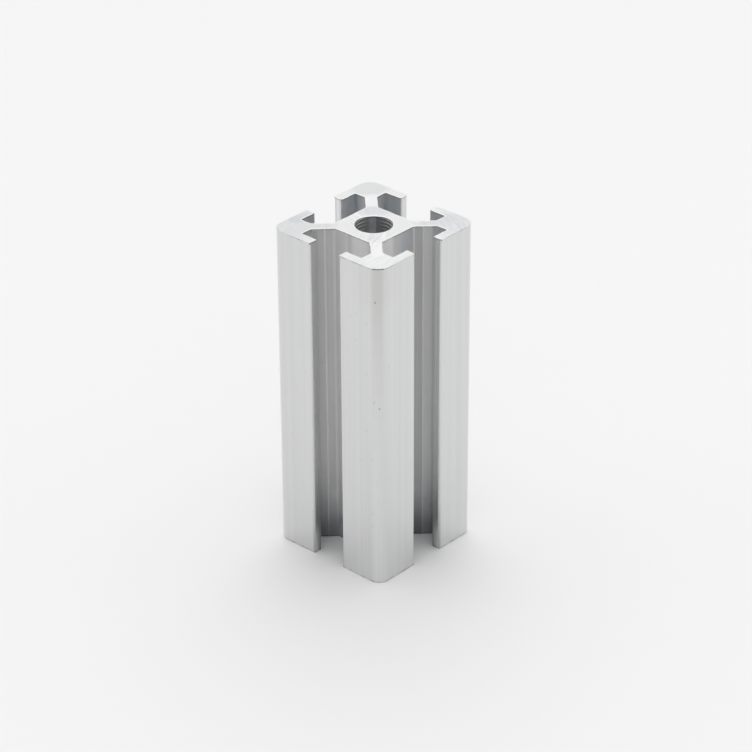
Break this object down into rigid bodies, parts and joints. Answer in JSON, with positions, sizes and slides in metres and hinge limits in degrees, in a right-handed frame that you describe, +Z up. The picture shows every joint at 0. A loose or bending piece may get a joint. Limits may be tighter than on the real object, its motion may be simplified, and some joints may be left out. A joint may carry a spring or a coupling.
{
  "type": "aluminium extrusion profile",
  "caption": "Short cut length of square aluminium T-slot extrusion with an undercut slot along each side, diagonal webs and a bored core, standing on a sawn end.",
  "frame": {"origin": "middle of the lower sawn end, on the bore's axis", "axes": "+Z up along the bar, +X and +Y square to two neighbouring slotted sides"},
  "size_m": [0.03, 0.03, 0.075],
  "materials": {
    "aluminium": "satin clear-anodised sides with fine lines along the bar, bright sawn ends"
  },
  "bodies": {
    "root": {"profile_bar": "aluminium"}
  },
  "joints": []
}
